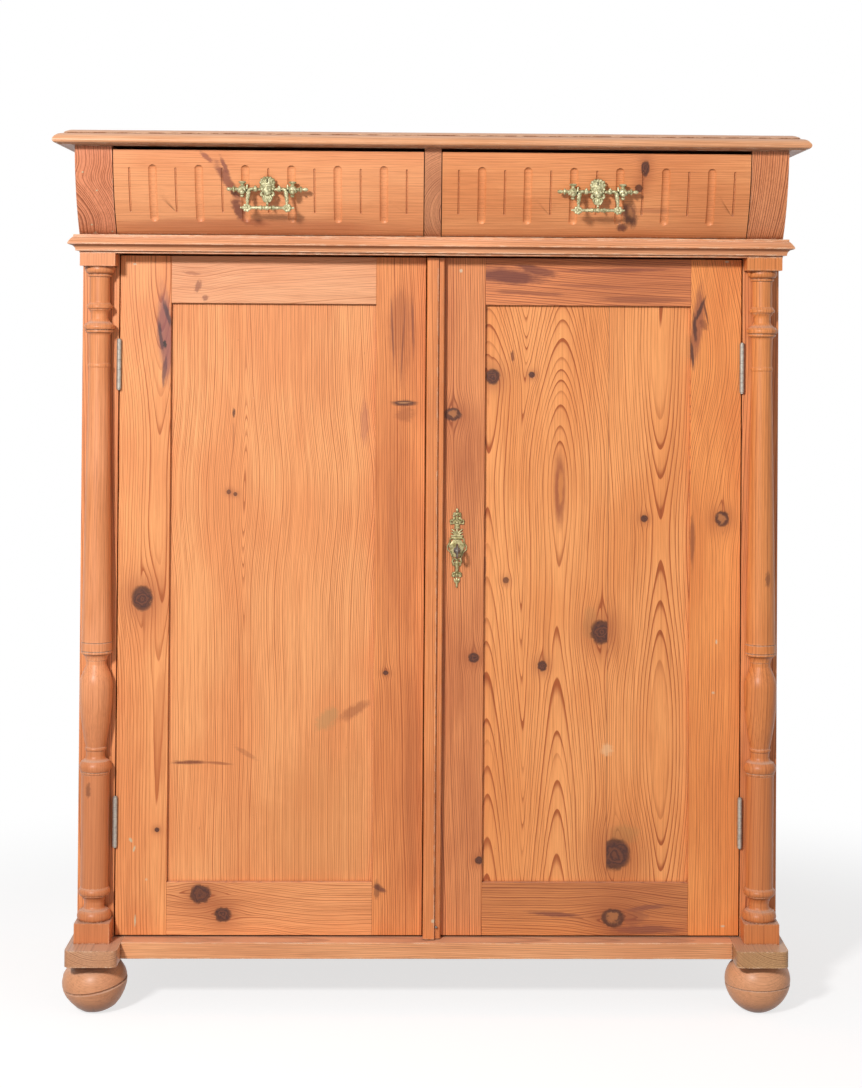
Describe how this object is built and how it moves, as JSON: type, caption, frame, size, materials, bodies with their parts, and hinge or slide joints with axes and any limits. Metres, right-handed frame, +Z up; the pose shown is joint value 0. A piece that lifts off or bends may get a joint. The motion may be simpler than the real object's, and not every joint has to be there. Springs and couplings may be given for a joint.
{
  "type": "jelly cupboard",
  "caption": "Pine jelly cupboard with curved fluted drawers under a moulded top, two panelled doors, turned columns at the corners and bun feet; drawers, doors, bails, key and bolts move.",
  "frame": {"origin": "centre of the bounding box on the floor, under the middle of the top board", "axes": "+Z up, +X to the right as seen from the front, +Y to the back; the doors face -Y"},
  "size_m": [1.013, 0.5, 1.193],
  "materials": {
    "pine": "varnished, satin",
    "brass": "aged, satin",
    "steel": "satin",
    "iron": "dark, worn"
  },
  "bodies": {
    "case": {"top_board": "pine", "side_panel_left": "pine", "side_panel_right": "pine", "front_stile_left": "pine", "front_stile_right": "pine", "frieze_block_left": "pine", "frieze_block_right": "pine", "drawer_partition": "pine", "waist_board": "pine", "waist_returns": "pine", "dust_board": "pine", "drawer_guides": "pine", "column_left": "pine", "column_right": "pine", "plinth_front_rail": "pine", "plinth_side_rail_left": "pine", "plinth_side_rail_right": "pine", "plinth_back_rail": "pine", "bottom_board": "pine", "back_boards": "pine", "shelf": "pine", "shelf_cleats": "pine", "foot_front_left": "pine", "foot_front_right": "pine", "foot_back_left": "pine", "foot_back_right": "pine", "hinge_frame_leaves": "steel", "hinge_pins": "steel"},
    "left_door": {"left_door_hinge_stile": "pine", "left_door_meeting_stile": "pine", "left_door_top_rail": "pine", "left_door_bottom_rail": "pine", "left_door_panel": "pine", "left_door_hinge_leaves": "steel", "left_door_bolt_plates": "iron"},
    "right_door": {"right_door_hinge_stile": "pine", "right_door_meeting_stile": "pine", "right_door_top_rail": "pine", "right_door_bottom_rail": "pine", "right_door_panel": "pine", "right_door_cover_strip": "pine", "right_door_hinge_leaves": "steel", "right_door_lock_case": "iron", "right_door_escutcheon": "brass"},
    "upper_bolt": {"left_door_upper_bolt": "iron"},
    "lower_bolt": {"left_door_lower_bolt": "iron"},
    "lock_bolt": {"right_door_lock_bolt": "iron"},
    "key": {"right_door_key": "iron"},
    "left_drawer": {"left_drawer_front": "pine", "left_drawer_box": "pine", "left_drawer_bottom": "pine", "left_drawer_pull_plate": "brass", "left_drawer_pull_nuts": "brass"},
    "left_bail": {"left_drawer_bail": "brass"},
    "right_drawer": {"right_drawer_front": "pine", "right_drawer_box": "pine", "right_drawer_bottom": "pine", "right_drawer_pull_plate": "brass", "right_drawer_pull_nuts": "brass"},
    "right_bail": {"right_drawer_bail": "brass"}
  },
  "joints": [
    {"name": "left_door_hinge", "type": "hinge", "parent": "case", "child": "left_door", "pos_m": [-0.42925, -0.1414, 0.565], "axis": [0, 0, -1], "range_deg": [0, 95]},
    {"name": "right_door_hinge", "type": "hinge", "parent": "case", "child": "right_door", "pos_m": [0.42925, -0.1414, 0.565], "axis": [0, 0, 1], "range_deg": [0, 95]},
    {"name": "left_drawer_slide", "type": "slide", "parent": "case", "child": "left_drawer", "axis": [0, -1, 0], "range_m": [0, 0.3]},
    {"name": "right_drawer_slide", "type": "slide", "parent": "case", "child": "right_drawer", "axis": [0, -1, 0], "range_m": [0, 0.3]},
    {"name": "left_bail_hinge", "type": "hinge", "parent": "left_drawer", "child": "left_bail", "pos_m": [-0.222, -0.2256, 1.1155], "axis": [-1, 0, 0], "range_deg": [0, 95]},
    {"name": "right_bail_hinge", "type": "hinge", "parent": "right_drawer", "child": "right_bail", "pos_m": [0.222, -0.2256, 1.1155], "axis": [-1, 0, 0], "range_deg": [0, 95]},
    {"name": "upper_bolt_slide", "type": "slide", "parent": "left_door", "child": "upper_bolt", "axis": [0, 0, 1], "range_m": [0, 0.022]},
    {"name": "lower_bolt_slide", "type": "slide", "parent": "left_door", "child": "lower_bolt", "axis": [0, 0, -1], "range_m": [0, 0.014]},
    {"name": "key_turn", "type": "hinge", "parent": "right_door", "child": "key", "pos_m": [0.0368, -0.138, 0.626], "axis": [0, 1, 0], "range_deg": [0, 180]},
    {"name": "lock_bolt_slide", "type": "slide", "parent": "right_door", "child": "lock_bolt", "axis": [-1, 0, 0], "range_m": [0, 0.008]}
  ],
  "couplings": [
    {"joint": "lock_bolt_slide", "follows": "key_turn", "m_per_rad": 0.002546}
  ]
}
